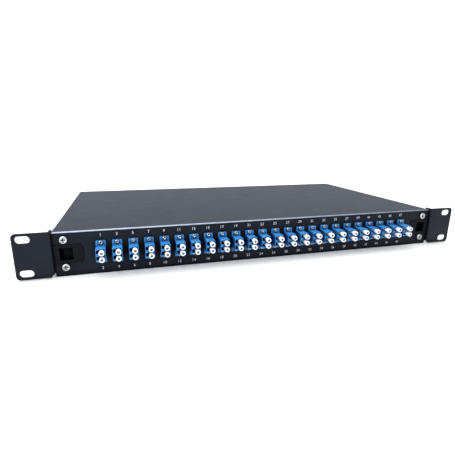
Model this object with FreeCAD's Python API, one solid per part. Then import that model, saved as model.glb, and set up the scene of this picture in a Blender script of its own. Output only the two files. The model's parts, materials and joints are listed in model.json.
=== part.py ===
import FreeCAD, Part
import math
import os

# Rack-mount fibre patch panel, one unit high, with a pull-out drawer.
# Millimetres. The origin is the centre of the rack mounting plane, which is the back face
# of the ears. X runs to the right as seen from the front, Y to the back and Z up.

rack_width = 482.6
slot_spacing_x = 465.0
slot_spacing_z = 31.75
slot_length = 12.0
slot_width = 6.8
ear_height = 43.0
ear_thickness = 2.0
ear_depth = 32.0
ear_bend = 1.6
ear_face_start_x = 211.6
ear_corner_radius = 2.0

sheet = 1.2
case_half_width = 210.0
case_bottom = -22.5
case_top = 20.3
case_back = 234.0
cover_front = 1.5
cover_fold = 1.1
flange_bottom_z = -19.0

panel_half_width = 209.6
panel_front = 1.5
panel_sheet = 1.5
panel_bottom = case_bottom + 0.1
panel_top = case_top - 2.1
panel_back = panel_front + panel_sheet
panel_screw_x = 200.2
panel_screw_z = (12.8, -13.6)

port_count = 24
port_pitch = 14.64
port_z = -0.5
duplex_spacing = 6.25
port_offset = 1.0
adapter_width = 8.8
adapter_height = 12.2
adapter_front = -11.5
adapter_back = 15.5
flange_height = 21.6
flange_width = 9.0
flange_front = -0.5
flange_hole_z = 8.9
port_opening = 4.8
keyway_reach = 4.0
keyway_half_height = 1.7
port_depth = 6.5
sleeve_radius = 0.85

cap_radius = 2.45
cap_front = -16.8

tray_half_width = 194.7
tray_bottom = -20.3
tray_floor = tray_bottom + sheet
tray_back = 217.0

slide_front = 27.0
slide_length = 198.0
slide_z = -2.0
ball_radius = 1.3
ball_z = 11.05
ball_x = 201.2
cage_length = 52.0

latch_z = -0.8
pocket_inner_x = 193.0
pocket_outer_x = 204.8
pocket_half_height = 6.0
pocket_floor = 11.6
thumb_plate_front = 6.0
thumb_plate_inner_x = 193.3
thumb_plate_outer_x = 201.7
spring_inner_x = 188.55
spring_outer_x = 197.65

gland_x = 150.0
plug_x = 105.0
entry_z = -4.0
entry_radius = 9.3
cable_radius = 4.0
earth_x = 188.0

splice_tray_half = (85.0, 55.0)
splice_tray_y = 130.0
splice_tray_top = -7.0
spool_places = [(-140.0, 80.0), (140.0, 80.0), (-140.0, 176.0), (140.0, 176.0)]

X_AXIS = FreeCAD.Vector(1, 0, 0)
Y_AXIS = FreeCAD.Vector(0, 1, 0)
Z_AXIS = FreeCAD.Vector(0, 0, 1)
ORIGIN = FreeCAD.Vector(0, 0, 0)


def box(x0, x1, y0, y1, z0, z1):
    corner = FreeCAD.Vector(min(x0, x1), min(y0, y1), min(z0, z1))
    return Part.makeBox(abs(x1 - x0), abs(y1 - y0), abs(z1 - z0), corner)


def rod(axis, x, y, z, length, radius):
    return Part.makeCylinder(radius, length, FreeCAD.Vector(x, y, z), axis)


def fuse(shapes):
    whole = shapes[0].multiFuse(shapes[1:]) if len(shapes) > 1 else shapes[0]
    return whole.removeSplitter()


def fillet(shape, radius, wanted):
    edges = [edge for edge in shape.Edges if wanted(edge.CenterOfMass, edge)]
    return shape.makeFillet(radius, edges)


def runs_along(edge, axis):
    ends = [vertex.Point for vertex in edge.Vertexes]
    if len(ends) < 2:
        return False
    return (ends[1] - ends[0]).normalize().cross(axis).Length < 1e-6


def moved(shape, x, y, z):
    copy = shape.copy()
    copy.translate(FreeCAD.Vector(x, y, z))
    return copy


def turned(shape, axis, degrees):
    copy = shape.copy()
    copy.rotate(ORIGIN, axis, degrees)
    return copy


def mirrored(shape):
    return shape.mirror(ORIGIN, X_AXIS)


def save(name, shapes):
    solids = []
    for shape in shapes:
        solids.extend(shape.Solids)
    whole = solids[0] if len(solids) == 1 else Part.makeCompound(solids)
    whole.exportStep("parts/" + name + ".step")
    print(name, len(solids), round(whole.Volume, 1), whole.isValid())


def ring(axis, x, y, z, length, outer, inner):
    return rod(axis, x, y, z, length, outer).cut(rod(axis, x, y, z, length, inner))


def rounded_plate(half_x, half_y, z0, z1, radius):
    plate = box(-half_x, half_x, -half_y, half_y, z0, z1)
    return fillet(plate, radius, lambda c, e: runs_along(e, Z_AXIS))


def hexagon(across_flats, length):
    reach = across_flats / math.sqrt(3)
    corners = []
    for side in range(7):
        angle = math.radians(60 * side)
        corners.append(FreeCAD.Vector(reach * math.cos(angle), 0, reach * math.sin(angle)))
    blank = Part.Face(Part.makePolygon(corners)).extrude(Y_AXIS * length)
    chamfer_ball = rod(Y_AXIS, 0, 0, 0, length, reach - 0.35)
    return blank.common(chamfer_ball)


def pan_screw(head_radius, head_height, shank_radius, shank_length):
    # Head on +Z, underside of the head at the origin, with a cross recess.
    head = rod(Z_AXIS, 0, 0, 0, head_height, head_radius)
    head = fillet(head, head_height * 0.6, lambda c, e: c.z > head_height - 0.01)
    shank = rod(Z_AXIS, 0, 0, -shank_length, shank_length, shank_radius)
    arm = head_radius * 0.55
    slot = head_radius * 0.11
    depth = head_height * 0.6
    cross = [box(-arm, arm, -slot, slot, head_height - depth, head_height + 1),
             box(-slot, slot, -arm, arm, head_height - depth, head_height + 1)]
    return fuse([head, shank]).cut(cross)


def facing_front(shape):
    return turned(shape, X_AXIS, 90)


def facing_back(shape):
    return turned(shape, X_AXIS, -90)


def facing_right(shape):
    return turned(shape, Y_AXIS, 90)


def port_x(index):
    return (index - (port_count - 1) / 2) * port_pitch


def port_places():
    return [port_x(index) for index in range(port_count)]


# Fixed casing

wall_outer = case_half_width - sheet
wall_inner = wall_outer - sheet
back_outer = case_back - sheet
ear_screw_places = [(y, z) for y in (12.0, 25.0) for z in (-10.0, 10.0)]
cover_side_screw_y = (70.0, 150.0, 216.0)
cover_back_screw_x = (-170.0, 0.0, 170.0)
cover_screw_z = 14.0
pan_front = panel_back + 0.4


def wall_screw_holes(radius, reach):
    holes = []
    for y, z in ear_screw_places:
        holes.append(rod(X_AXIS, -reach, y, z, 2 * reach, radius))
    for y in cover_side_screw_y:
        holes.append(rod(X_AXIS, -reach, y, cover_screw_z, 2 * reach, radius * 0.75))
    for x in cover_back_screw_x:
        holes.append(rod(Y_AXIS, x, back_outer - 5, cover_screw_z, 20, radius * 0.75))
    return holes


def make_casing_pan():
    outside = box(-wall_outer, wall_outer, pan_front, back_outer, case_bottom, case_top - sheet)
    outside = fillet(outside, 1.8, lambda c, e: runs_along(e, Y_AXIS) and c.z < 0)
    inside = box(-wall_inner, wall_inner, pan_front - 1, back_outer - sheet,
                 case_bottom + sheet, case_top)
    inside = fillet(inside, 0.6, lambda c, e: runs_along(e, Y_AXIS) and c.z < 0)
    pan = outside.cut(inside)
    strike = box(wall_inner - 1, case_half_width, 12.5, 16.8, latch_z - 4, latch_z + 4)
    entries = []
    for x in (-gland_x, -plug_x, plug_x, gland_x):
        entries.append(rod(Y_AXIS, x, back_outer - 5, entry_z, 10, entry_radius))
    entries.append(rod(Y_AXIS, earth_x, back_outer - 5, entry_z, 10, 3.05))
    tools = [strike, mirrored(strike)] + entries
    pan = pan.cut(tools + wall_screw_holes(2.05, 230))
    save("casing_pan", [pan])


def make_top_cover():
    top = box(-case_half_width, case_half_width, cover_front, case_back, case_top - sheet, case_top)
    lip = box(-case_half_width, case_half_width, cover_front, cover_front + sheet,
              case_top - 1.8, case_top - sheet)
    side = box(wall_outer, case_half_width, pan_front, case_back, 7.0, case_top - sheet)
    back = box(-case_half_width, case_half_width, back_outer, case_back, 10.0, case_top - sheet)
    cover = fuse([top, lip, side, mirrored(side), back])
    cover = fillet(cover, cover_fold, lambda c, e: c.z > case_top - 0.01)
    holes = wall_screw_holes(2.05, 230)
    save("top_cover", [cover.cut(holes)])


def round_slot(x, z):
    half = (slot_length - slot_width) / 2
    radius = slot_width / 2
    ends = [rod(Y_AXIS, x - half, -6, z, 12, radius), rod(Y_AXIS, x + half, -6, z, 12, radius)]
    return fuse(ends + [box(x - half, x + half, -6, 6, z - radius, z + radius)])


def lower_bend_relief():
    # Below the side flange the sheet is cut back to the ear's face, with a rounded corner.
    low = -ear_height / 2
    start = ear_face_start_x
    radius = ear_corner_radius
    relief = box(case_half_width - 1, start, -5, 5, low - 1, flange_bottom_z)
    corner = box(start - 0.5, start + radius, -5, 5, low - 1, low + radius)
    corner = corner.cut(rod(Y_AXIS, start + radius, -6, low + radius, 12, radius))
    return [relief, corner]


def make_rack_ears():
    face = box(case_half_width, rack_width / 2, -ear_thickness, 0, -ear_height / 2, ear_height / 2)
    face = fillet(face, 3.5, lambda c, e: runs_along(e, Y_AXIS) and c.x > 230)
    flange = box(case_half_width, case_half_width + ear_thickness, -ear_thickness, ear_depth,
                 flange_bottom_z, ear_height / 2)
    ear = fuse([face, flange])
    step = box(case_half_width - 1, case_half_width + 4, 7.0, ear_depth + 1, 17.4, 30)
    ear = ear.cut(step)
    ear = fillet(ear, ear_bend,
                 lambda c, e: runs_along(e, Z_AXIS) and c.x < case_half_width + 0.01 and c.y < -1)
    ear = fillet(ear, 3.0, lambda c, e: runs_along(e, X_AXIS) and c.y > ear_depth - 0.01)
    holes = lower_bend_relief()
    for z in (-slot_spacing_z / 2, slot_spacing_z / 2):
        holes.append(round_slot(slot_spacing_x / 2, z))
    for y, z in ear_screw_places:
        holes.append(rod(X_AXIS, 200, y, z, 20, 2.05))
    ear = ear.cut(holes)
    save("rack_ear_right", [ear])
    save("rack_ear_left", [mirrored(ear)])


def make_ear_screws():
    screw = facing_right(pan_screw(3.7, 2.2, 2.0, 4.4))
    screws = []
    for y, z in ear_screw_places:
        placed = moved(screw, case_half_width + ear_thickness, y, z)
        screws.extend([placed, mirrored(placed)])
    save("ear_screws", screws)


def make_cover_screws():
    screw = pan_screw(2.7, 1.7, 1.5, 2.4)
    screws = []
    for y in cover_side_screw_y:
        placed = moved(facing_right(screw), case_half_width, y, cover_screw_z)
        screws.extend([placed, mirrored(placed)])
    for x in cover_back_screw_x:
        screws.append(moved(facing_back(screw), x, case_back, cover_screw_z))
    save("cover_screws", screws)


def make_cable_glands():
    bodies = []
    domes = []
    locknuts = []
    seals = []
    flange_start = back_outer
    neck_start = flange_start + 5.0
    for x in (-gland_x, gland_x):
        body = fuse([hexagon(22.0, 5.0),
                     rod(Y_AXIS, 0, -9.5, 0, 9.5, entry_radius - 0.1),
                     rod(Y_AXIS, 0, 5.0, 0, 7.0, entry_radius - 0.1)])
        body = body.cut(rod(Y_AXIS, 0, -10, 0, 30, 6.5))
        bodies.append(moved(body, x, flange_start, entry_z))
        dome = rod(Y_AXIS, 0, 0, 0, 14.5, 11.0)
        dome = fillet(dome, 4.0, lambda c, e: c.y > 14.4)
        grip = hexagon(22.0, 8.0)
        dome = fuse([dome.common(box(-20, 20, 7.9, 20, -20, 20)), grip])
        dome = dome.cut([rod(Y_AXIS, 0, -1, 0, 11.0, entry_radius), rod(Y_AXIS, 0, -1, 0, 20, 5.6)])
        domes.append(moved(dome, x, neck_start + 0.4, entry_z))
        locknut = hexagon(24.0, 4.0).cut(rod(Y_AXIS, 0, -1, 0, 9, entry_radius))
        locknuts.append(moved(locknut, x, back_outer - sheet - 4.0, entry_z))
        seal = ring(Y_AXIS, 0, 0, 0, 12.0, 6.4, cable_radius)
        seals.append(moved(seal, x, neck_start - 4.0, entry_z))
    save("cable_glands", bodies)
    save("gland_domes", domes)
    save("gland_locknuts", locknuts)
    save("gland_seals", seals)


def make_blanking_plugs():
    plugs = []
    for x in (-plug_x, plug_x):
        rim = rod(Y_AXIS, 0, 0, 0, 2.0, 11.5)
        rim = fillet(rim, 1.2, lambda c, e: c.y > 1.9)
        barrel = ring(Y_AXIS, 0, -6.0, 0, 6.0, entry_radius - 0.1, entry_radius - 1.6)
        plugs.append(moved(fuse([rim, barrel]), x, back_outer, entry_z))
    save("blanking_plugs", plugs)


def make_earth_stud():
    stud = rod(Y_AXIS, 0, -4.5, 0, 20.0, 3.0)
    head = rod(Y_AXIS, 0, -3.0 - sheet, 0, 3.0, 5.0)
    stud = fuse([stud, head])
    stud = fillet(stud, 0.6, lambda c, e: c.y > 15.4)
    washer = ring(Y_AXIS, 0, 0, 0, 1.0, 6.0, 3.05)
    nut = moved(hexagon(10.0, 4.5), 0, 1.0, 0).cut(rod(Y_AXIS, 0, 0, 0, 9, 3.05))
    outer_washer = moved(washer, 0, 5.5, 0)
    outer_nut = moved(nut, 0, 5.5, 0)
    pieces = [stud, washer, nut, outer_washer, outer_nut]
    save("earth_stud", [moved(piece, earth_x, back_outer, entry_z) for piece in pieces])


# Ball slides

def slide_section(web_inner, web_outer, reach, half_height, lip):
    # C section: a web between two X places, flanges reaching to the X place "reach".
    y0 = slide_front
    y1 = slide_front + slide_length
    web = box(web_inner, web_outer, y0, y1, -half_height, half_height)
    pieces = [web]
    for sign in (1, -1):
        pieces.append(box(web_inner, reach, y0, y1, sign * half_height, sign * (half_height - 1.0)))
        if lip:
            end = reach + (1.0 if reach < web_inner else -1.0)
            pieces.append(box(reach, end, y0, y1, sign * half_height, sign * (half_height - lip)))
    return moved(fuse(pieces), 0, 0, slide_z)


def make_slides():
    outer = slide_section(wall_inner - 1.0, wall_inner, wall_inner - 9.7, 13.5, 2.0)
    inner = slide_section(tray_half_width, tray_half_width + 1.0, wall_inner - 3.4, 9.6, 0)
    for hole_y in (55.0, 126.0, 195.0):
        outer = outer.cut(rod(X_AXIS, wall_inner - 4.9, hole_y, slide_z, 8, 2.2))
    stop = box(tray_half_width + 1.0, wall_inner - 3.9, slide_front + slide_length - 3,
               slide_front + slide_length, slide_z - 8.0, slide_z + 8.0)
    inner = fuse([inner, stop])
    save("slide_outer_right", [outer])
    save("slide_outer_left", [mirrored(outer)])
    save("slide_inner_right", [inner])
    save("slide_inner_left", [mirrored(inner)])


def make_slide_cages():
    middle = slide_front + slide_length / 2
    y0 = middle - cage_length / 2
    y1 = middle + cage_length / 2
    web_x = wall_inner - 2.5
    pieces = [box(web_x, web_x + 0.5, y0, y1, -ball_z - 0.25, ball_z + 0.25)]
    for z in (ball_z, -ball_z):
        pieces.append(box(web_x - 5.6, web_x, y0, y1, z - 0.25, z + 0.25))
    cage = fuse(pieces)
    window = box(web_x - 0.4, web_x + 1.6, y0 + 8, y1 - 8, -6, 6)
    holes = [window]
    balls = []
    ball_gap = 6.0
    for step in range(8):
        y = y0 + 5.0 + step * ball_gap
        for z in (ball_z, -ball_z):
            holes.append(rod(Z_AXIS, ball_x, y, z - 1, 2, ball_radius + 0.15))
            balls.append(Part.makeSphere(ball_radius, FreeCAD.Vector(ball_x, y, z)))
    cage = cage.cut(holes)
    right = [moved(piece, 0, 0, slide_z) for piece in [cage] + balls]
    save("slide_cage_right", right)
    save("slide_cage_left", [mirrored(piece) for piece in right])


# Drawer

def latch_window(grow):
    reach = 1.2 + grow
    return box(pocket_inner_x - reach, pocket_outer_x + reach, panel_front - 3, panel_back + 3,
               latch_z - pocket_half_height - reach, latch_z + pocket_half_height + reach)


def make_front_panel():
    panel = box(-panel_half_width, panel_half_width, panel_front, panel_back, panel_bottom, panel_top)
    panel = fillet(panel, 0.6, lambda c, e: runs_along(e, Y_AXIS) and c.z > 0)
    panel = fillet(panel, 1.5, lambda c, e: runs_along(e, Y_AXIS) and c.z < panel_bottom + 0.1)
    holes = [latch_window(0.2), mirrored(latch_window(0.2))]
    for x in port_places():
        holes.append(box(x - 4.8, x + 4.8, 0, 5, port_z - 6.3, port_z + 6.3))
        for z in (port_z - flange_hole_z, port_z + flange_hole_z):
            holes.append(rod(Y_AXIS, x, 0, z, 5, 1.05))
    for x in (-panel_screw_x, panel_screw_x):
        for z in panel_screw_z:
            holes.append(rod(Y_AXIS, x, 0, z, 5, 2.05))
    save("front_panel", [panel.cut(holes)])


def make_drawer_tray():
    half = tray_half_width
    front = panel_back
    floor = box(-half, half, front, tray_back, tray_bottom, tray_floor)
    side = box(half - sheet, half, front, tray_back, tray_bottom, 14.0)
    side = side.cut(box(half - 3, half + 3, front - 1, 19.5, latch_z - 10, latch_z + 10))
    top_slope = box(half - 3, half + 3, 60, tray_back + 1, 9.0, 20)
    side = side.cut(top_slope)
    front_lip = box(-half, half, front, front + sheet, tray_bottom, -13.0)
    back_lip = box(-half, half, tray_back - sheet, tray_back, tray_bottom, -8.0)
    tabs = []
    for z in panel_screw_z:
        low = max(z - 4.0, tray_bottom)
        tabs.append(box(half - sheet, panel_screw_x + 5.2, front, front + 1.5, low, z + 4.0))
    pieces = [floor, side, mirrored(side), front_lip, back_lip]
    pieces += tabs + [mirrored(tab) for tab in tabs]
    for x in range(-160, 161, 40):
        pieces.append(tie_bridge(x))
    tray = fuse(pieces)
    holes = []
    for x in (-panel_screw_x, panel_screw_x):
        for z in panel_screw_z:
            holes.append(rod(Y_AXIS, x, 0, z, 8, 2.05))
    for x in (-gland_x, -plug_x, plug_x, gland_x):
        holes.append(box(x - 14, x + 14, tray_back - 4, tray_back + 1, -14.0, 0))
    for x, y in spool_places:
        holes.append(rod(Z_AXIS, x, y, tray_bottom - 1, 4, 1.55))
    for x, y in splice_tray_screws():
        holes.append(rod(Z_AXIS, x, y, tray_bottom - 1, 4, 1.55))
    save("drawer_tray", [tray.cut(holes)])


def tie_bridge(x):
    y = tray_back - 13.0
    bridge = box(x - 6, x + 6, y, y + 4, tray_floor - 0.1, tray_floor + 3.4)
    return bridge.cut(box(x - 4.6, x + 4.6, y - 1, y + 5, tray_floor, tray_floor + 2.2))


def make_panel_screws():
    screw = facing_front(pan_screw(3.7, 2.3, 2.0, 6.0))
    screws = []
    for x in (-panel_screw_x, panel_screw_x):
        for z in panel_screw_z:
            screws.append(moved(screw, x, panel_front, z))
            nut = ring(Y_AXIS, x, panel_back + 1.5, z, 2.4, 3.1, 2.05)
            screws.append(nut)
    save("panel_screws", screws)


def port_cavity(x, z, y0, y1):
    square = box(x + port_offset - port_opening / 2, x + port_offset + port_opening / 2, y0, y1,
                 z - port_opening / 2, z + port_opening / 2)
    keyway = box(x - keyway_reach, x, y0, y1, z - keyway_half_height, z + keyway_half_height)
    return square.fuse(keyway)


def make_adapter():
    half_width = adapter_width / 2
    half_height = adapter_height / 2
    front = box(-half_width, half_width, adapter_front, flange_front, -half_height, half_height)
    front = fillet(front, 0.5, lambda c, e: runs_along(e, Y_AXIS))
    flange = box(-flange_width / 2, flange_width / 2, flange_front, panel_front,
                 -flange_height / 2, flange_height / 2)
    flange = fillet(flange, 0.9, lambda c, e: runs_along(e, Y_AXIS))
    back = box(-half_width + 0.1, half_width - 0.1, panel_front, adapter_back,
               -half_height + 0.1, half_height - 0.1)
    body = fuse([front, flange, back])
    holes = []
    for z in (-duplex_spacing / 2, duplex_spacing / 2):
        holes.append(port_cavity(0, z, adapter_front - 1, adapter_front + port_depth))
        holes.append(port_cavity(0, z, adapter_back - port_depth, adapter_back + 1))
        holes.append(rod(Y_AXIS, port_offset, adapter_front, z, 27, sleeve_radius))
    for z in (-flange_hole_z, flange_hole_z):
        holes.append(rod(Y_AXIS, 0, -5, z, 10, 1.05))
    return body.cut(holes)


def make_adapters():
    adapter = make_adapter()
    sleeve = ring(Y_AXIS, port_offset, adapter_front + port_depth, 0, 14.0, sleeve_radius, 0.63)
    sleeve = sleeve.cut(box(port_offset - 0.1, port_offset + 0.1, -9, 15, 0, 2))
    screw = facing_front(pan_screw(1.9, 1.1, 1.0, 5.0))
    sleeves = []
    screws = []
    for x in port_places():
        for z in (-duplex_spacing / 2, duplex_spacing / 2):
            sleeves.append(moved(sleeve, x, 0, port_z + z))
        for z in (-flange_hole_z, flange_hole_z):
            screws.append(moved(screw, x, flange_front, port_z + z))
    save("adapters", [moved(adapter, x, 0, port_z) for x in port_places()])
    save("alignment_sleeves", sleeves)
    save("flange_screws", screws)


def cap_outline():
    # Half section of one cap: radius against distance in front of the adapter's face.
    def point(radius, reach):
        return FreeCAD.Vector(radius, adapter_front - reach, 0)
    head_front = adapter_front - cap_front
    rim = 0.4
    start = point(cap_radius, head_front - rim)
    middle = point(cap_radius - rim + rim * math.sin(math.pi / 4),
                   head_front - rim + rim * math.sin(math.pi / 4))
    end = point(cap_radius - rim, head_front)
    lines = [point(0, -5.0), point(1.5, -5.0), point(1.7, -4.6), point(1.7, 0.2),
             point(2.1, 0.5), point(cap_radius - 0.2, 2.4), point(cap_radius, 2.8), start]
    edges = [Part.LineSegment(a, b).toShape() for a, b in zip(lines, lines[1:])]
    edges.append(Part.Arc(start, middle, end).toShape())
    rest = [end, point(1.35, head_front), point(1.2, head_front - 2.2),
            point(0, head_front - 2.2), lines[0]]
    edges += [Part.LineSegment(a, b).toShape() for a, b in zip(rest, rest[1:])]
    return Part.Face(Part.Wire(edges))


def make_caps():
    cap = cap_outline().revolve(ORIGIN, Y_AXIS, 360)
    for index, x in enumerate(port_places()):
        pair = []
        for z in (duplex_spacing / 2, -duplex_spacing / 2):
            pair.append(moved(cap, x + port_offset, 0, port_z + z))
        save("port_cap_{:02d}".format(index + 1), pair)
    inner_cap = turned(cap, Z_AXIS, 180)
    inner = []
    for x in port_places():
        for z in (-duplex_spacing / 2, duplex_spacing / 2):
            inner.append(moved(inner_cap, x + port_offset, adapter_back + adapter_front, port_z + z))
    save("inner_dust_caps", inner)


# Latches

def latch_bezel():
    high = 8.9
    front = panel_front - 0.8
    outer = panel_half_width
    corner_x = 185.9
    points = [FreeCAD.Vector(corner_x, front, high), FreeCAD.Vector(outer, front, high),
              FreeCAD.Vector(outer, front, -high), FreeCAD.Vector(corner_x, front, -high)]
    edges = [Part.LineSegment(a, b).toShape() for a, b in zip(points, points[1:])]
    bulge = FreeCAD.Vector(183.7, front, 0)
    edges.append(Part.Arc(points[3], bulge, points[0]).toShape())
    plate = Part.Face(Part.Wire(edges)).extrude(Y_AXIS * 0.8)
    return fillet(plate, 0.3, lambda c, e: c.y < front + 0.01)


def make_latch_housing():
    wall = 1.2
    tube_half = pocket_half_height + wall
    guide_back = 16.2
    seat_inner = spring_inner_x - 1.55
    outer = wall_inner - 2.9
    tube = box(pocket_inner_x - wall, pocket_outer_x + wall, panel_front, pocket_floor + wall,
               -tube_half, tube_half)
    guides = []
    for sign in (1, -1):
        guides.append(box(seat_inner, outer, pocket_floor + wall, guide_back, sign * 4.6, sign * 6.2))
    floor = box(seat_inner, outer, pocket_floor, pocket_floor + wall, -6.2, 6.2)
    spring_seat = box(seat_inner, seat_inner + 1.5, pocket_floor + wall, guide_back, -4.6, 4.6)
    housing = fuse([latch_bezel(), tube, floor, spring_seat] + guides)
    pocket = box(pocket_inner_x, pocket_outer_x, 0, pocket_floor,
                 -pocket_half_height, pocket_half_height)
    plate_way = box(pocket_inner_x - 2, pocket_inner_x + 1, thumb_plate_front - 0.7,
                    thumb_plate_front + 2.3, -5.9, 5.9)
    neck_slot = box(194.0, 201.9, pocket_floor - 1, pocket_floor + 2, -2.5, 2.5)
    housing = housing.cut([pocket, plate_way, neck_slot])
    return moved(housing, 0, 0, latch_z)


def make_latch():
    front = thumb_plate_front
    plate = box(thumb_plate_inner_x, thumb_plate_outer_x, front, front + 2.0, -5.6, 5.6)
    lip = box(thumb_plate_outer_x - 1.1, thumb_plate_outer_x, front - 1.2, front, -5.6, 5.6)
    plate = fuse([plate, lip])
    plate = fillet(plate, 0.4, lambda c, e: c.y < front - 1.1)
    ribs = []
    for x in (194.6, 196.2, 197.8, 199.4):
        ribs.append(box(x - 0.3, x + 0.3, front - 0.4, front, -4.8, 4.8))
    neck = box(199.3, 201.5, front + 1.9, 13.3, -2.1, 2.1)
    nose_root = wall_inner - 2.4
    carrier = box(spring_outer_x + 0.05, nose_root, 13.2, 15.8, -4.3, 4.3)
    nose_outline = [(nose_root, 13.2), (nose_root + 0.9, 13.2), (nose_root + 2.1, 15.0),
                    (nose_root + 2.1, 15.8), (nose_root, 15.8)]
    points = [FreeCAD.Vector(x, y, -3.0) for x, y in nose_outline]
    nose = Part.Face(Part.makePolygon(points + points[:1])).extrude(Z_AXIS * 6.0)
    return moved(fuse([plate, neck, carrier, nose] + ribs), 0, 0, latch_z)


def make_spring():
    wire_radius = 0.25
    coil_radius = 1.5
    length = spring_outer_x - spring_inner_x - 2 * wire_radius
    helix = Part.makeHelix(1.6, length, coil_radius)
    section = Part.Wire(Part.makeCircle(wire_radius, FreeCAD.Vector(coil_radius, 0, 0), Y_AXIS))
    coil = Part.Wire(helix).makePipeShell([section], True, True)
    coil = Part.Solid(coil) if not coil.Solids else coil
    return moved(facing_right(coil), spring_inner_x + wire_radius, 14.65, latch_z)


def make_latches():
    housing = make_latch_housing()
    latch = make_latch()
    spring = make_spring()
    save("latch_housing_right", [housing])
    save("latch_housing_left", [mirrored(housing)])
    save("latch_right", [latch])
    save("latch_left", [mirrored(latch)])
    save("latch_spring_right", [spring])
    save("latch_spring_left", [mirrored(spring)])


# Fibre management inside the drawer

def splice_tray_screws():
    half_x = splice_tray_half[0] - 8.0
    half_y = splice_tray_half[1] - 8.0
    return [(x, splice_tray_y + y) for x in (-half_x, half_x) for y in (-half_y, half_y)]


def make_splice_tray():
    half_x, half_y = splice_tray_half
    low = tray_floor
    wall = 1.8
    outside = rounded_plate(half_x, half_y, low, splice_tray_top, 14.0)
    inside = rounded_plate(half_x - wall, half_y - wall, low + wall, splice_tray_top + 5, 12.2)
    tray = moved(outside.cut(inside), 0, splice_tray_y, 0)
    pieces = [tray]
    for x in (-50.0, 50.0):
        hub = ring(Z_AXIS, x, splice_tray_y, low + wall - 0.1, 8.5, 19.0, 17.2)
        pieces.append(hub.cut(box(x - 3, x + 3, 0, 300, low + 4, 20)))
    for x, y in splice_tray_screws():
        pieces.append(rod(Z_AXIS, x, y, low, 7.0, 3.6))
    tray = fuse(pieces)
    mouths = []
    for x in (-45.0, 45.0):
        mouths.append(box(x - 9, x + 9, splice_tray_y - half_y - 3, splice_tray_y - half_y + 4,
                          low + 4.0, 20))
        mouths.append(box(x - 9, x + 9, splice_tray_y + half_y - 4, splice_tray_y + half_y + 3,
                          low + 4.0, 20))
    for x, y in splice_tray_screws():
        mouths.append(rod(Z_AXIS, x, y, low - 1, 20, 1.55))
    save("splice_tray", [tray.cut(mouths)])


def make_splice_comb():
    low = tray_floor + 1.8
    base = box(-22, 22, splice_tray_y - 30, splice_tray_y + 30, low, low + 1.2)
    pieces = [base]
    for row in range(13):
        y = splice_tray_y - 29.5 + row * 4.9
        for x in (-14.0, 0.0, 14.0):
            pieces.append(box(x - 5.5, x + 5.5, y - 0.5, y + 0.5, low + 1.1, low + 6.5))
    save("splice_comb", [fuse(pieces)])


def make_splice_lid():
    half_x, half_y = splice_tray_half
    lid = rounded_plate(half_x - 0.4, half_y - 0.4, splice_tray_top, splice_tray_top + 1.6, 13.6)
    rim = rounded_plate(half_x - 2.2, half_y - 2.2, splice_tray_top - 1.4, splice_tray_top, 11.8)
    rim = rim.cut(rounded_plate(half_x - 3.6, half_y - 3.6, splice_tray_top - 2,
                                splice_tray_top, 10.4))
    lid = fillet(lid, 0.5, lambda c, e: c.z > splice_tray_top + 1.59)
    notches = [box(-12, 12, -half_y - 1, -half_y + 5, -20, 5)]
    for x in (-45.0, 45.0):
        notches.append(box(x - 10, x + 10, -half_y - 1, -half_y + 4.5, -20, splice_tray_top))
        notches.append(box(x - 10, x + 10, half_y - 4.5, half_y + 1, -20, splice_tray_top))
    lid = fuse([lid, rim]).cut(notches)
    save("splice_lid", [moved(lid, 0, splice_tray_y, 0)])


def make_fibre_spools():
    spools = []
    for x, y in spool_places:
        base = ring(Z_AXIS, 0, 0, 0, 1.6, 27.0, 18.0)
        wall = ring(Z_AXIS, 0, 0, 1.5, 15.5, 24.0, 22.2)
        pieces = [base, wall, box(-22.5, 22.5, -5, 5, 0, 1.6)]
        for angle in (45, 135, 225, 315):
            tab = box(22.4, 30.0, -5, 5, 15.4, 17.0)
            pieces.append(turned(tab, Z_AXIS, angle))
        spool = fuse(pieces)
        gaps = [box(-3, 3, -40, 40, 4.0, 20), rod(Z_AXIS, 0, 0, -1, 4, 1.55)]
        spools.append(moved(spool.cut(gaps), x, y, tray_floor))
    save("fibre_spools", spools)


def make_tray_screws():
    screws = []
    for x, y in spool_places:
        screws.append(moved(pan_screw(2.9, 2.0, 1.5, 2.7), x, y, tray_floor + 1.6))
    for x, y in splice_tray_screws():
        screws.append(moved(pan_screw(2.9, 1.9, 1.5, 8.0), x, y, tray_floor + 7.0))
    save("tray_screws", screws)


os.makedirs("parts", exist_ok=True)
make_casing_pan()
make_top_cover()
make_rack_ears()
make_ear_screws()
make_cover_screws()
make_cable_glands()
make_blanking_plugs()
make_earth_stud()
make_slides()
make_slide_cages()
make_front_panel()
make_drawer_tray()
make_panel_screws()
make_adapters()
make_caps()
make_latches()
make_splice_tray()
make_splice_comb()
make_splice_lid()
make_fibre_spools()
make_tray_screws()
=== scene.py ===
import bpy
import json
import math
from mathutils import Matrix, Vector


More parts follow.
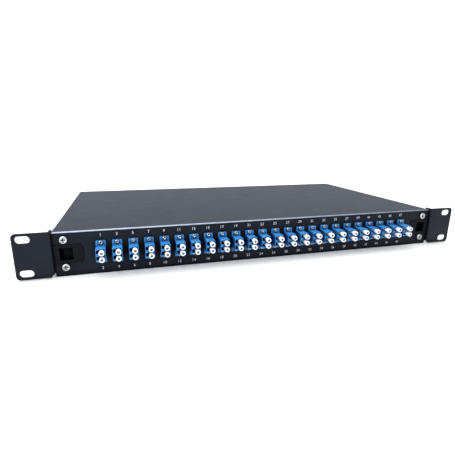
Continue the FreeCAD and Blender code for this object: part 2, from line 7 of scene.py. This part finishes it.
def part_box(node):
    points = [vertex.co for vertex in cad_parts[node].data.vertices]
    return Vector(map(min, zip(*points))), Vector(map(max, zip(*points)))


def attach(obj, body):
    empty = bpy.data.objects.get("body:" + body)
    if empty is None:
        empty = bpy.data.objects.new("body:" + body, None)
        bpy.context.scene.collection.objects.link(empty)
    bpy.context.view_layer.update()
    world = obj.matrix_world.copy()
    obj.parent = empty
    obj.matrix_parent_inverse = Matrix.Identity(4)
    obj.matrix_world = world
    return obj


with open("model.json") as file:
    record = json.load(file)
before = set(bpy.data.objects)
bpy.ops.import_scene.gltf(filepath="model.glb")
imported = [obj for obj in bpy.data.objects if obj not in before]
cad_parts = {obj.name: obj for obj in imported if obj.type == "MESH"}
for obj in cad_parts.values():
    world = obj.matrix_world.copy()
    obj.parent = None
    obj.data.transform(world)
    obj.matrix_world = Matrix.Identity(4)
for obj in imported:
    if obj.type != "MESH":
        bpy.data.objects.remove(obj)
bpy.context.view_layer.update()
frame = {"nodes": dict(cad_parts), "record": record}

# Fibre patch panel, one rack unit high, with a pull-out drawer of blue duplex ports.
# Everything is in metres in the frame of the CAD parts.
mm = 0.001
scene = bpy.context.scene
scene.view_settings.view_transform = "Standard"
print("frame loaded:", len(frame["nodes"]), "nodes")


def linear(hexColour):
    # sRGB hex to the linear colour that the shaders want
    channels = [int(hexColour[i:i + 2], 16) / 255 for i in (1, 3, 5)]
    return tuple(c / 12.92 if c <= 0.04045 else ((c + 0.055) / 1.055) ** 2.4 for c in channels) + (1.0,)


# A Mix node's colour sockets share their names, so they go by number.
mixShare, mixFirst, mixSecond, mixResult = 0, 6, 7, 2
mixColours = {"data_type": "RGBA"}
noiseSpan = {"From Min": 0.3, "From Max": 0.7}  # nearly all of a noise texture lies here


def addNode(tree, kind, settings={}, values={}, output=0):
    # a value that is a socket is linked, and any other is set on the input
    node = tree.nodes.new(kind)
    for name, value in settings.items():
        setattr(node, name, value)
    for name, value in values.items():
        if isinstance(value, bpy.types.NodeSocket):
            tree.links.new(value, node.inputs[name])
        else:
            node.inputs[name].default_value = value
    return node.outputs[output] if node.outputs else node


def perMetre(size):
    # texture scale for features of that many millimetres
    return 1 / (size * mm)


def newMaterial(name):
    material = bpy.data.materials.new(name)
    material.use_nodes = True
    material.node_tree.nodes.clear()
    return material, material.node_tree, addNode(material.node_tree, "ShaderNodeTexCoord", output="Object")


crevices = {"samples": 8, "closed": 0.25, "open": 0.9}


def finishMaterial(tree, look, colour, roughness, normal):
    # little light reaches crevices, so both colour and sheen fall off in them
    openness = addNode(tree, "ShaderNodeAmbientOcclusion", {"samples": crevices["samples"]},
                       {"Distance": look["shadeReach"] * mm}, "AO")
    openness = addNode(tree, "ShaderNodeMapRange", {},
                       {"Value": openness, "From Min": crevices["closed"], "From Max": crevices["open"]})
    colour = addNode(tree, "ShaderNodeMix", mixColours,
                     {mixShare: openness, mixFirst: linear(look["shade"]), mixSecond: colour}, mixResult)
    values = dict(look["shader"])
    if "Specular IOR Level" in values:
        values["Specular IOR Level"] = addNode(tree, "ShaderNodeMapRange", {},
                                               {"Value": openness, "To Max": values["Specular IOR Level"]})
    values.update({"Base Color": colour, "Roughness": roughness, "Normal": normal})
    shader = addNode(tree, "ShaderNodeBsdfPrincipled", values=values)
    addNode(tree, "ShaderNodeOutputMaterial", values={"Surface": shader})


edges = {"samples": 4, "sharp": 0.80, "flat": 0.995}  # how far the rounded and flat normals agree


def edgeShare(tree, radius):
    # 0 on flat faces, up to 1 along outer and inner edges
    rounded = addNode(tree, "ShaderNodeBevel", {"samples": edges["samples"]}, {"Radius": radius * mm})
    flat = addNode(tree, "ShaderNodeNewGeometry", output="Normal")
    same = addNode(tree, "ShaderNodeVectorMath", {"operation": "DOT_PRODUCT"}, {0: rounded, 1: flat},
                   "Value")
    return addNode(tree, "ShaderNodeMapRange", {},
                   {"Value": same, "From Min": edges["sharp"], "From Max": edges["flat"],
                    "To Min": 1.0, "To Max": 0.0})


def makePowderCoat(look):
    material, tree, place = newMaterial(look["name"])
    clouds = addNode(tree, "ShaderNodeTexNoise", {},
                     {"Vector": place, "Scale": perMetre(look["cloudSize"]), "Detail": 3.0,
                      "Roughness": 0.6})
    share = addNode(tree, "ShaderNodeMapRange", {}, {"Value": clouds, **noiseSpan})
    colour = addNode(tree, "ShaderNodeMix", mixColours,
                     {mixShare: share, mixFirst: linear(look["colour"]), mixSecond: linear(look["paler"])},
                     mixResult)
    dots = addNode(tree, "ShaderNodeTexNoise", {},
                   {"Vector": place, "Scale": perMetre(look["speckSize"]), "Detail": 1.0})
    share = addNode(tree, "ShaderNodeMapRange", {},
                    {"Value": dots, "From Min": look["speckFrom"], "From Max": look["speckFull"],
                     "To Max": look["speckShare"]})
    colour = addNode(tree, "ShaderNodeMix", mixColours,
                     {mixShare: share, mixFirst: colour, mixSecond: linear(look["speck"])}, mixResult)
    # edges painted paler in patches: partly wear, partly a painted highlight
    wearAndHighlightNoise = addNode(tree, "ShaderNodeTexNoise", {},
                      {"Vector": place, "Scale": perMetre(look["wearAndHighlightSize"]), "Detail": 3.0})
    wearAndHighlightNoise = addNode(tree, "ShaderNodeMapRange", {},
                      {"Value": wearAndHighlightNoise, **noiseSpan, "To Min": look["edgeLeast"],
                       "To Max": look["edgeShare"]})
    share = addNode(tree, "ShaderNodeMath", {"operation": "MULTIPLY"},
                    {0: edgeShare(tree, look["edgeWidth"]), 1: wearAndHighlightNoise})
    colour = addNode(tree, "ShaderNodeMix", mixColours,
                     {mixShare: share, mixFirst: colour, mixSecond: linear(look["edge"])}, mixResult)
    # painted highlight along the cover's front fold
    if "fold" in look:
        colour = rubFold(tree, place, colour, look["fold"])
    sheen = addNode(tree, "ShaderNodeTexNoise", {},
                    {"Vector": place, "Scale": perMetre(look["sheenSize"]), "Detail": 4.0,
                     "Roughness": 0.6})
    low, high = look["roughness"]
    roughness = addNode(tree, "ShaderNodeMapRange", {},
                        {"Value": sheen, **noiseSpan, "To Min": low, "To Max": high})
    grain = addNode(tree, "ShaderNodeTexNoise", {},
                    {"Vector": place, "Scale": perMetre(look["grainSize"]), "Detail": 2.0,
                     "Roughness": 0.7})
    normal = addNode(tree, "ShaderNodeBump", {},
                     {"Height": grain, "Strength": look["grainStrength"],
                      "Distance": look["grainDepth"] * mm})
    finishMaterial(tree, look, colour, roughness, normal)
    return material


def rubFold(tree, place, colour, fold):
    # painted highlight along the front fold of the cover, brightest at the left end
    axes = addNode(tree, "ShaderNodeSeparateXYZ", {}, {"Vector": place}).node
    reach = fold["halfLength"] * mm
    wearAndHighlightNoise = addNode(tree, "ShaderNodeTexNoise", {},
                      {"Vector": place, "Scale": perMetre(fold["wearAndHighlightSize"]), "Detail": 3.0})
    factors = [
        {"Value": axes.outputs["Z"], "From Min": fold["lowZ"] * mm, "From Max": fold["highZ"] * mm},
        {"Value": axes.outputs["Y"], "From Min": fold["frontY"] * mm, "From Max": fold["backY"] * mm,
         "To Min": 1.0, "To Max": 0.0},
        {"Value": axes.outputs["X"], "From Min": -reach, "From Max": reach,
         "To Min": fold["left"], "To Max": fold["right"]},
        {"Value": wearAndHighlightNoise, **noiseSpan, "To Min": fold["leastHighlight"]},
    ]
    share = 1.0
    for values in factors:
        factor = addNode(tree, "ShaderNodeMapRange", {}, values)
        share = addNode(tree, "ShaderNodeMath", {"operation": "MULTIPLY"}, {0: share, 1: factor})
    return addNode(tree, "ShaderNodeMix", mixColours,
                   {mixShare: share, mixFirst: colour, mixSecond: linear(fold["colour"])}, mixResult)


def makePlated(look):
    material, tree, place = newMaterial(look["name"])
    along = addNode(tree, "ShaderNodeMapping", {}, {"Vector": place, "Scale": look["stretch"]})
    streaks = addNode(tree, "ShaderNodeTexNoise", {},
                      {"Vector": along, "Scale": perMetre(look["streakSize"]), "Detail": 3.0,
                       "Roughness": 0.6})
    share = addNode(tree, "ShaderNodeMapRange", {},
                    {"Value": streaks, **noiseSpan, "To Max": look["streakShare"]})
    colour = addNode(tree, "ShaderNodeMix", mixColours,
                     {mixShare: share, mixFirst: linear(look["colour"]),
                      mixSecond: linear(look["darker"])}, mixResult)
    crystals = addNode(tree, "ShaderNodeTexVoronoi", {},
                       {"Vector": place, "Scale": perMetre(look["grainSize"])}, "Color")
    share = addNode(tree, "ShaderNodeMapRange", {}, {"Value": crystals, "To Max": look["grainShare"]})
    colour = addNode(tree, "ShaderNodeMix", mixColours,
                     {mixShare: share, mixFirst: colour, mixSecond: linear(look["paler"])}, mixResult)
    low, high = look["roughness"]
    roughness = addNode(tree, "ShaderNodeMapRange", {},
                        {"Value": streaks, **noiseSpan, "To Min": low, "To Max": high})
    normal = addNode(tree, "ShaderNodeBump", {},
                     {"Height": streaks, "Strength": look["bumpStrength"], "Distance": look["depth"] * mm})
    finishMaterial(tree, look, colour, roughness, normal)
    return material


# Marks that every moulding has: handling patches against the cloud size (on black ABS and nylon a painted
# edge highlight), and how deep its grain looks.
moulding = {"patchPart": 0.4, "patchFrom": 0.45, "patchFull": 0.75, "edgeWidth": 0.5, "bumpStrength": 0.3}


def makeMoulded(look):
    material, tree, place = newMaterial(look["name"])
    clouds = addNode(tree, "ShaderNodeTexNoise", {},
                     {"Vector": place, "Scale": perMetre(look["cloudSize"])})
    share = addNode(tree, "ShaderNodeMapRange", {}, {"Value": clouds, **noiseSpan})
    colour = addNode(tree, "ShaderNodeMix", mixColours,
                     {mixShare: share, mixFirst: linear(look["colour"]), mixSecond: linear(look["paler"])},
                     mixResult)
    island = addNode(tree, "ShaderNodeNewGeometry", output="Random Per Island")
    share = addNode(tree, "ShaderNodeMapRange", {}, {"Value": island, "To Max": look["pieceShare"]})
    colour = addNode(tree, "ShaderNodeMix", mixColours,
                     {mixShare: share, mixFirst: colour, mixSecond: linear(look["piece"])}, mixResult)
    # handling marks, and on black ABS and nylon a painted highlight: soft patches along the edges
    patches = addNode(tree, "ShaderNodeTexNoise", {},
                      {"Vector": place, "Scale": perMetre(look["cloudSize"] * moulding["patchPart"]),
                       "Detail": 4.0, "Roughness": 0.7})
    patches = addNode(tree, "ShaderNodeMapRange", {},
                      {"Value": patches, "From Min": moulding["patchFrom"],
                       "From Max": moulding["patchFull"], "To Max": look["grimeAndHighlightShare"]})
    share = addNode(tree, "ShaderNodeMath", {"operation": "MULTIPLY"},
                    {0: patches, 1: edgeShare(tree, moulding["edgeWidth"])})
    colour = addNode(tree, "ShaderNodeMix", mixColours,
                     {mixShare: share, mixFirst: colour, mixSecond: linear(look["grimeAndHighlight"])}, mixResult)
    low, high = look["roughness"]
    roughness = addNode(tree, "ShaderNodeMapRange", {},
                        {"Value": clouds, **noiseSpan, "To Min": low, "To Max": high})
    grain = addNode(tree, "ShaderNodeTexNoise", {},
                    {"Vector": place, "Scale": perMetre(look["grainSize"]), "Roughness": 0.65})
    normal = addNode(tree, "ShaderNodeBump", {},
                     {"Height": grain, "Strength": moulding["bumpStrength"],
                      "Distance": look["grainDepth"] * mm})
    finishMaterial(tree, look, colour, roughness, normal)
    return material


def makeClear(look):
    material, tree, place = newMaterial(look["name"])
    ripples = addNode(tree, "ShaderNodeTexNoise", {},
                      {"Vector": place, "Scale": perMetre(look["rippleSize"]), "Detail": 1.0})
    share = addNode(tree, "ShaderNodeMapRange", {}, {"Value": ripples, **noiseSpan})
    colour = addNode(tree, "ShaderNodeMix", mixColours,
                     {mixShare: share, mixFirst: linear(look["colour"]), mixSecond: linear(look["paler"])},
                     mixResult)
    across = addNode(tree, "ShaderNodeMapping", {}, {"Vector": place, "Scale": look["scuffStretch"]})
    scuffs = addNode(tree, "ShaderNodeTexNoise", {},
                     {"Vector": across, "Scale": perMetre(look["scuffSize"]), "Detail": 4.0,
                      "Roughness": 0.7})
    low, high = look["roughness"]
    roughness = addNode(tree, "ShaderNodeMapRange", {},
                        {"Value": scuffs, "From Min": look["scuffFrom"], "From Max": look["scuffFull"],
                         "To Min": low, "To Max": high})
    normal = addNode(tree, "ShaderNodeBump", {},
                     {"Height": ripples, "Strength": look["bumpStrength"], "Distance": look["depth"] * mm})
    finishMaterial(tree, look, colour, roughness, normal)
    return material


# Polyester powder coat, sprayed and baked: near-black, satin, with a fine orange-peel grain.
# The real grain is about 0.3 mm and too fine to show, so it is drawn at 1.3 mm.
powderBlack = {
    "name": "powderCoatBlack", "shade": "#020203", "shadeReach": 7.0,
    "colour": "#0F1115", "paler": "#14171C", "cloudSize": 45.0,
    "speck": "#22262D", "speckShare": 0.35, "speckSize": 2.21, "speckFrom": 0.62, "speckFull": 0.74,
    "edge": "#3A3E46", "edgeShare": 0.5, "edgeLeast": 0.15, "edgeWidth": 0.5, "wearAndHighlightSize": 9.0,
    "roughness": (0.40, 0.55), "sheenSize": 18.0, "grainSize": 1.3, "grainDepth": 0.04,
    "grainStrength": 0.35,
    "shader": {"IOR": 1.5, "Specular IOR Level": 0.13, "Specular Tint": linear("#DFE9FF")},
}
# The same coat on the ears, a little greyer and with a stronger, bluer sheen.
powderEar = dict(powderBlack, name="powderCoatEar", colour="#111317", paler="#16181D",
                 shader={"IOR": 1.5, "Specular IOR Level": 0.16, "Specular Tint": linear("#D8E4FF")})
# The same coat on the cover, painted lighter and bluer for dust and for the overhead light its top catches,
# with a painted highlight along the front fold.
powderCover = dict(powderBlack, name="powderCoatCover", colour="#151A22", paler="#181D26",
                   roughness=(0.46, 0.50), speckShare=0.15, grainStrength=0.2,
                   shader={"IOR": 1.5, "Specular IOR Level": 0.10, "Specular Tint": linear("#C4D6FF")},
                   fold={"colour": "#C9CFDC", "lowZ": 19.0, "highZ": 19.5, "frontY": 2.2, "backY": 2.9,
                         "halfLength": 210.0, "left": 0.75, "right": 0.25, "wearAndHighlightSize": 6.0,
                         "leastHighlight": 0.75})

# Zinc plate on pressed steel: bright, slightly cloudy, with faint rolling streaks along the strip.
# The crystals are about 0.5 mm and drawn at 1.5 mm.
zincSteel = {
    "name": "zincPlatedSteel", "shade": "#3C3F44", "shadeReach": 6.0,
    "colour": "#B4B8BD", "darker": "#8D9298", "paler": "#D3D6DA", "grainSize": 1.5,
    "grainShare": 0.35, "streakSize": 2.2, "stretch": (1, 0.12, 1), "depth": 0.02,
    "roughness": (0.26, 0.42), "streakShare": 0.6, "bumpStrength": 0.2,
    "shader": {"Metallic": 1.0},
}
# Nickel plate on turned screws: a bright neutral metal, finely mottled.
# Its grain is far finer than that and drawn at 0.9 mm.
nickelScrew = {
    "name": "nickelPlatedScrew", "shade": "#23262F", "shadeReach": 12.0,
    "colour": "#B9BABC", "darker": "#86878A", "paler": "#D6D7D8", "grainSize": 0.9,
    "grainShare": 0.4, "streakSize": 0.8, "stretch": (1, 1, 1), "depth": 0.02, "roughness": (0.18, 0.34),
    "streakShare": 0.6, "bumpStrength": 0.2,
    "shader": {"Metallic": 1.0},
}
# Drawn spring wire, phosphated grey, with faint streaks along the coil.
# The crystals are too fine to show and drawn at 0.8 mm.
springWire = {
    "name": "drawnSpringWire", "shade": "#2C2D2E", "shadeReach": 2.0,
    "colour": "#8A8C8E", "darker": "#5F6163", "paler": "#A5A7A9", "grainSize": 0.8,
    "grainShare": 0.2, "streakSize": 0.6, "stretch": (0.3, 1, 1), "depth": 0.01, "roughness": (0.28, 0.42),
    "streakShare": 0.6, "bumpStrength": 0.2,
    "shader": {"Metallic": 1.0},
}

# The texture of a mould is about 0.1 mm and too fine to show, so every moulding's is drawn coarser,
# at its own grainSize.

# ABS, moulded in a spark-eroded tool: satin black with a fine even texture, and a painted highlight in pale
# patches along its edges.
blackAbs = {
    "name": "mouldedBlackAbs", "shade": "#010101", "shadeReach": 7.0,
    "colour": "#090A0C", "paler": "#0D0E10", "piece": "#0F1012", "pieceShare": 0.4,
    "grimeAndHighlight": "#474B52", "grimeAndHighlightShare": 0.8, "roughness": (0.38, 0.50), "grainSize": 0.9, "grainDepth": 0.03,
    "cloudSize": 14.0,
    "shader": {"IOR": 1.53, "Specular IOR Level": 0.07, "Specular Tint": linear("#DFE9FF")},
}
# PBT, moulded: clear sky blue, semi-gloss, each shell a shade apart from the next.
bluePbt = {
    "name": "mouldedBluePbt", "shade": "#0A1240", "shadeReach": 15.0,
    "colour": "#2A78B2", "paler": "#3888C0", "piece": "#226BAA", "pieceShare": 0.5,
    "grimeAndHighlight": "#1C4F94", "grimeAndHighlightShare": 0.4, "roughness": (0.28, 0.40), "grainSize": 0.8, "grainDepth": 0.02,
    "cloudSize": 6.0, "shader": {"IOR": 1.55, "Specular IOR Level": 0.35},
}
# Soft polyethylene, moulded: milky white, faintly see-through at its thin rims.
whiteCap = {
    "name": "mouldedWhitePolyethylene", "shade": "#9A9DA8", "shadeReach": 3.5,
    "colour": "#DADCE2", "paler": "#E6E8EC", "piece": "#CFD2D9",
    "pieceShare": 0.5, "grimeAndHighlight": "#B4B7BE", "grimeAndHighlightShare": 0.5, "roughness": (0.36, 0.50), "grainSize": 0.7,
    "grainDepth": 0.015, "cloudSize": 4.0,
    "shader": {"IOR": 1.51, "Specular IOR Level": 0.4, "Subsurface Weight": 0.05,
               "Subsurface Radius": (0.0012, 0.0012, 0.0013), "Subsurface Scale": 1.0},
}
# Zirconia, ground and polished: ivory white with a glassy gloss. Its grain is drawn coarser too.
zirconia = {
    "name": "groundZirconia", "shade": "#8D8A82", "shadeReach": 2.0,
    "colour": "#EDEAE2", "paler": "#F6F4EE", "piece": "#E3DFD5", "pieceShare": 0.3,
    "grimeAndHighlight": "#CFCABE", "grimeAndHighlightShare": 0.3, "roughness": (0.10, 0.18), "grainSize": 0.5, "grainDepth": 0.005,
    "cloudSize": 2.0, "shader": {"IOR": 2.15},
}
# Nylon 66, moulded: black, a touch waxy, with the same painted edge highlight as the ABS.
blackNylon = dict(blackAbs, name="mouldedBlackNylon", colour="#121314", paler="#191A1C",
                  roughness=(0.34, 0.46), shader={"IOR": 1.53, "Specular IOR Level": 0.4})
# EPDM rubber, moulded: dull black with a pale bloom in patches along its edges.
blackRubber = dict(blackAbs, name="mouldedBlackRubber", colour="#0F0F10", paler="#1B1B1C", grimeAndHighlight="#3A3A3B",
                   roughness=(0.62, 0.82), grainDepth=0.05, cloudSize=5.0,
                   shader={"IOR": 1.52, "Specular IOR Level": 0.3})
# ABS, moulded light grey for the splice tray, with soft flow marks.
greyAbs = {
    "name": "mouldedGreyAbs", "shade": "#4A4D51", "shadeReach": 6.0,
    "colour": "#8F9398", "paler": "#9EA2A6", "piece": "#868A90", "pieceShare": 0.4,
    "grimeAndHighlight": "#6C7075", "grimeAndHighlightShare": 0.5, "roughness": (0.36, 0.50), "grainSize": 1.0, "grainDepth": 0.02,
    "cloudSize": 22.0, "shader": {"IOR": 1.53, "Specular IOR Level": 0.45},
}
# Silicone rubber, moulded: the soft comb that grips the splices, matt mid grey.
greyRubber = dict(greyAbs, name="mouldedGreySilicone", colour="#5D6063", paler="#6A6D70", piece="#55585B",
                  roughness=(0.6, 0.75), cloudSize=6.0, shader={"IOR": 1.41, "Specular IOR Level": 0.3})
# Polycarbonate, moulded clear: glassy, with faint ripples and fine scuffs.
clearLid = {
    "name": "mouldedClearPolycarbonate", "shade": "#C9D2D5", "shadeReach": 3.0,
    "colour": "#E9F0F2", "paler": "#F4F8F9", "scuffSize": 1.4, "scuffStretch": (1, 0.25, 1),
    "scuffFrom": 0.55, "scuffFull": 0.8, "bumpStrength": 0.25,
    "rippleSize": 26.0, "roughness": (0.04, 0.16), "depth": 0.03,
    "shader": {"IOR": 1.585, "Transmission Weight": 0.92},
}
# Epoxy ink, screen printed: opaque white, a little thin and uneven.
printInk = {
    "name": "screenPrintedInk", "shade": "#8D8F94", "shadeReach": 3.0,
    "colour": "#C6C8CE", "paler": "#D4D6DB", "piece": "#B4B7BE", "pieceShare": 0.4,
    "grimeAndHighlight": "#A9ABB0", "grimeAndHighlightShare": 0.6, "roughness": (0.50, 0.62), "grainSize": 0.6, "grainDepth": 0.004,
    "cloudSize": 1.6, "shader": {"IOR": 1.5, "Specular IOR Level": 0.3},
}


slotMaterials = {
    "black_powder_coat": makePowderCoat(powderBlack),
    "ear_powder_coat": makePowderCoat(powderEar),
    "cover_powder_coat": makePowderCoat(powderCover),
    "zinc_steel": makePlated(zincSteel),
    "bright_screw": makePlated(nickelScrew),
    "spring_steel": makePlated(springWire),
    "black_abs": makeMoulded(blackAbs),
    "blue_pbt": makeMoulded(bluePbt),
    "white_cap": makeMoulded(whiteCap),
    "zirconia": makeMoulded(zirconia),
    "black_nylon": makeMoulded(blackNylon),
    "black_rubber": makeMoulded(blackRubber),
    "grey_abs": makeMoulded(greyAbs),
    "grey_rubber": makeMoulded(greyRubber),
    "clear_lid": makeClear(clearLid),
}
inkMaterial = makeMoulded(printInk)
print("materials made:", len(slotMaterials) + 1)


# Edge rounding in millimetres by node. The nodes not listed keep their edges as they are.
edgeRounding = {
    "casing_pan": 0.25, "top_cover": 0.2, "rack_ear_left": 0.3, "rack_ear_right": 0.3, "front_panel": 0.2,
    "drawer_tray": 0.2, "adapters": 0.15, "latch_housing_left": 0.15, "latch_housing_right": 0.15,
    "latch_left": 0.15, "latch_right": 0.15, "slide_outer_left": 0.2, "slide_outer_right": 0.2,
    "slide_inner_left": 0.2, "slide_inner_right": 0.2, "splice_tray": 0.25, "splice_comb": 0.12,
    "splice_lid": 0.15, "fibre_spools": 0.25, "cable_glands": 0.25, "gland_domes": 0.25,
    "gland_locknuts": 0.25,
}
edgeFinish = {"weld": 0.002, "segments": 2, "angle": 40, "normalWeight": 100}


def roundEdges(node, width):
    node.data.polygons.foreach_set("use_smooth", [True] * len(node.data.polygons))
    weld = node.modifiers.new("joinSeams", "WELD")
    weld.merge_threshold = edgeFinish["weld"] * mm
    if width:
        bevel = node.modifiers.new("roundEdges", "BEVEL")
        bevel.width = width * mm
        bevel.segments = edgeFinish["segments"]
        bevel.limit_method = "ANGLE"
        bevel.angle_limit = math.radians(edgeFinish["angle"])
        bevel.use_clamp_overlap = True
    normals = node.modifiers.new("flatFaces", "WEIGHTED_NORMAL")
    normals.weight = edgeFinish["normalWeight"]
    normals.keep_sharp = False


for subpart in frame["record"]["subparts"]:
    node = frame["nodes"][subpart["node"]]
    node.data.materials.clear()
    node.data.materials.append(slotMaterials[subpart["material_slot"]])
    if not subpart["node"].startswith("port_cap"):
        roundEdges(node, edgeRounding.get(subpart["node"], 0))


portNumbers = {
    "count": 24, "pitch": 14.64, "upperZ": 15.3, "lowerZ": -17.5, "height": 4.0, "thickness": 0.03,
    "standOff": 0.02, "thinning": 0.03, "letterSpace": 1.05, "curveSteps": 4,
}


def printedText(words, look):
    # mesh of one printed word, standing in the XZ plane and facing the front
    curve = bpy.data.curves.new("word", "FONT")
    curve.body = words
    curve.size = look["height"] * mm
    curve.extrude = look["thickness"] * mm / 2
    curve.offset = -look["thinning"] * mm
    curve.align_x = "CENTER"
    curve.align_y = "CENTER"
    curve.resolution_u = look["curveSteps"]
    curve.space_character = look["letterSpace"]
    holder = bpy.data.objects.new("word", curve)
    scene.collection.objects.link(holder)
    bpy.context.view_layer.update()
    mesh = bpy.data.meshes.new_from_object(holder.evaluated_get(bpy.context.evaluated_depsgraph_get()))
    bpy.data.objects.remove(holder)
    bpy.data.curves.remove(curve)
    mesh.transform(Matrix.Rotation(math.radians(90), 4, "X"))
    return mesh


def joinMeshes(name, placed):
    # placed holds (mesh, matrix) pairs
    vertices = []
    faces = []
    for mesh, matrix in placed:
        start = len(vertices)
        vertices.extend(matrix @ vertex.co for vertex in mesh.vertices)
        faces.extend([start + index for index in face.vertices] for face in mesh.polygons)
    joined = bpy.data.meshes.new(name)
    joined.from_pydata(vertices, [], faces)
    joined.update()
    piece = bpy.data.objects.new(name, joined)
    scene.collection.objects.link(piece)
    return piece


def makePortNumbers(look):
    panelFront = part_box("front_panel")[0].y
    y = panelFront - (look["standOff"] + look["thickness"] / 2) * mm
    placed = []
    for index in range(look["count"]):
        x = (index - (look["count"] - 1) / 2) * look["pitch"] * mm
        for number, z in ((2 * index + 1, look["upperZ"]), (2 * index + 2, look["lowerZ"])):
            word = printedText(str(number), look)
            placed.append((word, Matrix.Translation((x, y, z * mm))))
    numbers = joinMeshes("port_numbers", placed)
    numbers.data.materials.append(inkMaterial)
    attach(numbers, "drawer")


makePortNumbers(portNumbers)
print("port numbers printed")


earthMark = {"x": 188.0, "z": 6.6, "widths": (5.0, 3.4, 1.8), "gap": 1.1, "stroke": 0.5, "stem": 2.4,
             "thickness": 0.03, "standOff": 0.02}


def barMesh(width, height, depth):
    mesh = bpy.data.meshes.new("bar")
    halves = (width * mm / 2, depth * mm / 2, height * mm / 2)
    corners = [Vector((x * halves[0], y * halves[1], z * halves[2]))
               for x in (-1, 1) for y in (-1, 1) for z in (-1, 1)]
    sides = [(0, 1, 3, 2), (4, 6, 7, 5), (0, 4, 5, 1), (2, 3, 7, 6), (0, 2, 6, 4), (1, 5, 7, 3)]
    mesh.from_pydata(corners, [], sides)
    return mesh


def makeEarthMark(look):
    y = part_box("casing_pan")[1].y + (look["standOff"] + look["thickness"] / 2) * mm
    placed = []
    for row, width in enumerate(look["widths"]):
        z = (look["z"] - row * look["gap"]) * mm
        placed.append((barMesh(width, look["stroke"], look["thickness"]),
                       Matrix.Translation((look["x"] * mm, y, z))))
    z = (look["z"] + look["stem"] / 2) * mm
    placed.append((barMesh(look["stroke"], look["stem"], look["thickness"]),
                   Matrix.Translation((look["x"] * mm, y, z))))
    mark = joinMeshes("earth_mark", placed)
    mark.data.materials.append(inkMaterial)
    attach(mark, "casing")


makeEarthMark(earthMark)
print("earth mark printed")


# The studio is a faintly blue white all round, brightest overhead and a touch dimmer on the near side.
stage = {
    "floorRadius": 9.0, "floorRings": 6, "floorSteps": 64,
    "floorColour": "#E8E4DD", "floorRoughness": 0.9, "floorSpecular": 0.1,
    "worldColour": "#F4F9FF", "brightest": (0, 0.3, 1.0),
    "lowHeight": -0.3, "lowStrength": 0.95, "topHeight": 1.0, "topStrength": 1.55,
}


def makeFloor(look):
    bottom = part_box("casing_pan")[0].z
    rings = look["floorRings"]
    steps = look["floorSteps"]
    vertices = [Vector((0, 0, bottom))]
    for ring in range(1, rings + 1):
        radius = look["floorRadius"] * (ring / rings) ** 2
        for step in range(steps):
            angle = 2 * math.pi * step / steps
            vertices.append(Vector((radius * math.cos(angle), radius * math.sin(angle), bottom)))
    faces = [(0, 1 + step, 1 + (step + 1) % steps) for step in range(steps)]
    for ring in range(rings - 1):
        a = 1 + ring * steps
        b = a + steps
        for step in range(steps):
            after = (step + 1) % steps
            faces.append((a + step, b + step, b + after, a + after))
    mesh = bpy.data.meshes.new("floor")
    mesh.from_pydata(vertices, [], faces)
    floor = bpy.data.objects.new("floor", mesh)
    scene.collection.objects.link(floor)
    material = bpy.data.materials.new("matteFloor")
    material.use_nodes = True
    shader = material.node_tree.nodes["Principled BSDF"]
    shader.inputs["Base Color"].default_value = linear(look["floorColour"])
    shader.inputs["Roughness"].default_value = look["floorRoughness"]
    shader.inputs["Specular IOR Level"].default_value = look["floorSpecular"]
    mesh.materials.append(material)


def makeWorld(look):
    world = bpy.data.worlds.new("studio")
    world.use_nodes = True
    scene.world = world
    tree = world.node_tree
    tree.nodes.clear()
    direction = addNode(tree, "ShaderNodeTexCoord", output="Generated")
    height = addNode(tree, "ShaderNodeVectorMath", {"operation": "DOT_PRODUCT"},
                     {0: direction, 1: look["brightest"]}, "Value")
    strength = addNode(tree, "ShaderNodeMapRange", {},
                       {"Value": height, "From Min": look["lowHeight"], "From Max": look["topHeight"],
                        "To Min": look["lowStrength"], "To Max": look["topStrength"]})
    background = addNode(tree, "ShaderNodeBackground", {},
                         {"Color": linear(look["worldColour"]), "Strength": strength})
    addNode(tree, "ShaderNodeOutputWorld", {}, {"Surface": background})


lights = {
    "overheadSoftbox": {"place": (-0.3, 0.3, 1.5), "aim": (0, 0.12, 0), "size": (1.6, 1.2), "power": 18.0,
                        "colour": "#F4F8FF"},
    "frontLeftSoftbox": {"place": (-0.85, -0.85, 0.6), "aim": (-0.2, 0, 0), "size": (0.7, 0.5),
                         "power": 11.0, "colour": "#E8F0FF"},
}


def makeLights(looks):
    for name, look in looks.items():
        data = bpy.data.lights.new(name, "AREA")
        data.shape = "RECTANGLE"
        data.size, data.size_y = look["size"]
        data.energy = look["power"]
        data.color = linear(look["colour"])[:3]
        light = bpy.data.objects.new(name, data)
        scene.collection.objects.link(light)
        place = Vector(look["place"])
        light.location = place
        light.rotation_euler = (Vector(look["aim"]) - place).to_track_quat("-Z", "Y").to_euler()


camera = {"place": (-0.14186, -0.33097, 0.10743), "heading": 16.201, "tilt": -15.072, "roll": 0.545,
          "lens": 27.692, "sensor": 36.0, "nearest": 0.01, "farthest": 50}


def makeCamera(look):
    data = bpy.data.cameras.new("camera")
    data.lens = look["lens"]
    data.sensor_width = look["sensor"]
    data.clip_start = look["nearest"]
    data.clip_end = look["farthest"]
    holder = bpy.data.objects.new("camera", data)
    scene.collection.objects.link(holder)
    turn = Matrix.Rotation(math.radians(-look["heading"]), 4, "Z")
    tip = Matrix.Rotation(math.radians(90 + look["tilt"]), 4, "X")
    roll = Matrix.Rotation(math.radians(look["roll"]), 4, "Z")
    holder.matrix_world = Matrix.Translation(look["place"]) @ turn @ tip @ roll
    scene.camera = holder


makeFloor(stage)
makeWorld(stage)
makeLights(lights)
makeCamera(camera)
print("studio made")
